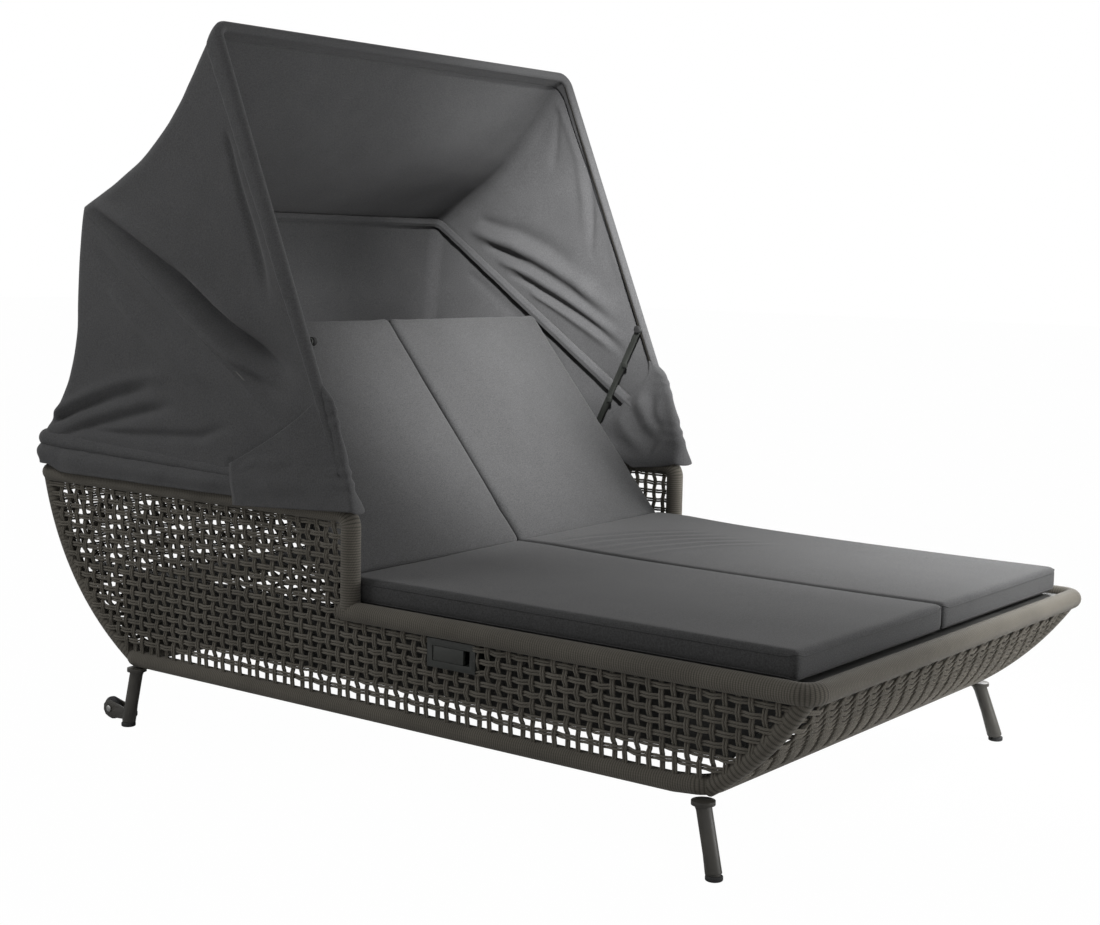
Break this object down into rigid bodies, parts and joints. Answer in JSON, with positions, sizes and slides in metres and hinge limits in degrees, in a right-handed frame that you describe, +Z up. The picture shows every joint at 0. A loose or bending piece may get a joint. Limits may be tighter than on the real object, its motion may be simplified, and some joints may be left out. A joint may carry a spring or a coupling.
{
  "type": "canopy daybed",
  "caption": "Woven-rope garden daybed for two with reclining backrests, loose cushions, release handles, transport wheels and a cloth canopy that folds back on hoops.",
  "frame": {"origin": "on the ground, under the middle of the whole object", "axes": "+Z up, +Y from the foot end towards the head end under the canopy, +X to the right of someone who stands at the foot and looks at the head"},
  "size_m": [1.3276, 2.1876, 1.6339],
  "materials": {
    "rope": "matte",
    "leg_metal": "satin",
    "deck_metal": "satin",
    "hoop_metal": "satin",
    "steel": "satin",
    "black_plastic": "matte",
    "rubber": "matte",
    "cushion_cloth": "matte",
    "canopy_cloth": "matte"
  },
  "bodies": {
    "daybed": {"foot_frame": "rope", "head_frame": "rope", "foot_weave": "rope", "head_weave": "rope", "seat_rail_right": "rope", "base_rail_right": "rope", "back_rail_right": "rope", "side_weave_seat_right": "rope", "side_weave_back_right": "rope", "foot_leg_right": "leg_metal", "head_leg_right": "leg_metal", "foot_glide_right": "rubber", "head_glide_right": "rubber", "wheel_axle_right": "steel", "gas_rod_right": "steel", "seat_cushion_right": "cushion_cloth", "hoop_pivot_right": "hoop_metal", "stay_bracket_right": "hoop_metal", "handle_housing_right": "black_plastic", "canopy_skirt_right": "canopy_cloth", "canopy_inner_flap_right": "canopy_cloth", "seat_rail_left": "rope", "base_rail_left": "rope", "back_rail_left": "rope", "side_weave_seat_left": "rope", "side_weave_back_left": "rope", "foot_leg_left": "leg_metal", "head_leg_left": "leg_metal", "foot_glide_left": "rubber", "head_glide_left": "rubber", "wheel_axle_left": "steel", "gas_rod_left": "steel", "seat_cushion_left": "cushion_cloth", "hoop_pivot_left": "hoop_metal", "stay_bracket_left": "hoop_metal", "handle_housing_left": "black_plastic", "canopy_skirt_left": "canopy_cloth", "canopy_inner_flap_left": "canopy_cloth", "deck_frame": "deck_metal", "hinge_rod": "steel", "rear_hoop": "hoop_metal", "canopy_head_skirt": "canopy_cloth"},
    "backrest_right": {"backrest_frame_right": "deck_metal", "back_cushion_right": "cushion_cloth"},
    "spring_right": {"gas_cylinder_right": "hoop_metal"},
    "paddle_right": {"release_paddle_right": "black_plastic"},
    "stay_right": {"canopy_stay_right": "black_plastic"},
    "knob_right": {"stay_knob_right": "black_plastic"},
    "wheel_right": {"wheel_right": "rubber"},
    "backrest_left": {"backrest_frame_left": "deck_metal", "back_cushion_left": "cushion_cloth"},
    "spring_left": {"gas_cylinder_left": "hoop_metal"},
    "paddle_left": {"release_paddle_left": "black_plastic"},
    "stay_left": {"canopy_stay_left": "black_plastic"},
    "knob_left": {"stay_knob_left": "black_plastic"},
    "wheel_left": {"wheel_left": "rubber"},
    "middle_hoop": {"middle_hoop": "hoop_metal", "canopy_rear_gore": "canopy_cloth"},
    "front_hoop": {"front_hoop": "hoop_metal", "canopy_front_gore": "canopy_cloth"}
  },
  "joints": [
    {"name": "backrest_right_recline", "type": "hinge", "parent": "daybed", "child": "backrest_right", "pos_m": [0.29, 0.118, 0.372], "axis": [-1, 0, 0], "range_deg": [0, 50]},
    {"name": "spring_right_travel", "type": "slide", "parent": "daybed", "child": "spring_right", "axis": [0, -1, 0], "range_m": [0, 0.0762]},
    {"name": "paddle_right_pull", "type": "hinge", "parent": "daybed", "child": "paddle_right", "pos_m": [0.63174, -0.1995, 0.3227], "axis": [0, 0, 1], "range_deg": [0, 30], "stiffness_Nm_per_rad": 0.15, "springref_deg": -17.19},
    {"name": "backrest_left_recline", "type": "hinge", "parent": "daybed", "child": "backrest_left", "pos_m": [-0.29, 0.118, 0.372], "axis": [-1, 0, 0], "range_deg": [0, 50]},
    {"name": "spring_left_travel", "type": "slide", "parent": "daybed", "child": "spring_left", "axis": [0, -1, 0], "range_m": [0, 0.0762]},
    {"name": "paddle_left_pull", "type": "hinge", "parent": "daybed", "child": "paddle_left", "pos_m": [-0.63174, -0.1995, 0.3227], "axis": [0, 0, -1], "range_deg": [0, 30], "stiffness_Nm_per_rad": 0.15, "springref_deg": -17.19},
    {"name": "canopy_fold", "type": "hinge", "parent": "daybed", "child": "middle_hoop", "pos_m": [0, 0.04, 0.63], "axis": [-1, 0, 0], "range_deg": [0, 26.9], "deforming": ["canopy_rear_gore"]},
    {"name": "front_hoop_fold", "type": "hinge", "parent": "middle_hoop", "child": "front_hoop", "pos_m": [0, 0.04, 0.63], "axis": [-1, 0, 0], "range_deg": [0, 26.9], "deforming": ["canopy_front_gore"]},
    {"name": "stay_right_drop", "type": "hinge", "parent": "daybed", "child": "stay_right", "pos_m": [0.622, 0.324, 0.63], "axis": [-1, 0, 0], "range_deg": [0, 111]},
    {"name": "knob_right_turn", "type": "hinge", "parent": "stay_right", "child": "knob_right", "pos_m": [0.622, 0.16994, 0.94527], "axis": [1, 0, 0], "continuous": true},
    {"name": "wheel_right_roll", "type": "hinge", "parent": "daybed", "child": "wheel_right", "pos_m": [0.63467, 0.816, 0.034], "axis": [1, 0, 0], "continuous": true},
    {"name": "stay_left_drop", "type": "hinge", "parent": "daybed", "child": "stay_left", "pos_m": [-0.622, 0.324, 0.63], "axis": [-1, 0, 0], "range_deg": [0, 111]},
    {"name": "knob_left_turn", "type": "hinge", "parent": "stay_left", "child": "knob_left", "pos_m": [-0.622, 0.16994, 0.94527], "axis": [-1, 0, 0], "continuous": true},
    {"name": "wheel_left_roll", "type": "hinge", "parent": "daybed", "child": "wheel_left", "pos_m": [-0.63467, 0.816, 0.034], "axis": [1, 0, 0], "continuous": true}
  ],
  "couplings": [
    {"joint": "spring_right_travel", "follows": "backrest_right_recline", "m_per_rad": 0.08717},
    {"joint": "spring_left_travel", "follows": "backrest_left_recline", "m_per_rad": 0.08717},
    {"joint": "front_hoop_fold", "follows": "canopy_fold", "ratio": 1}
  ]
}
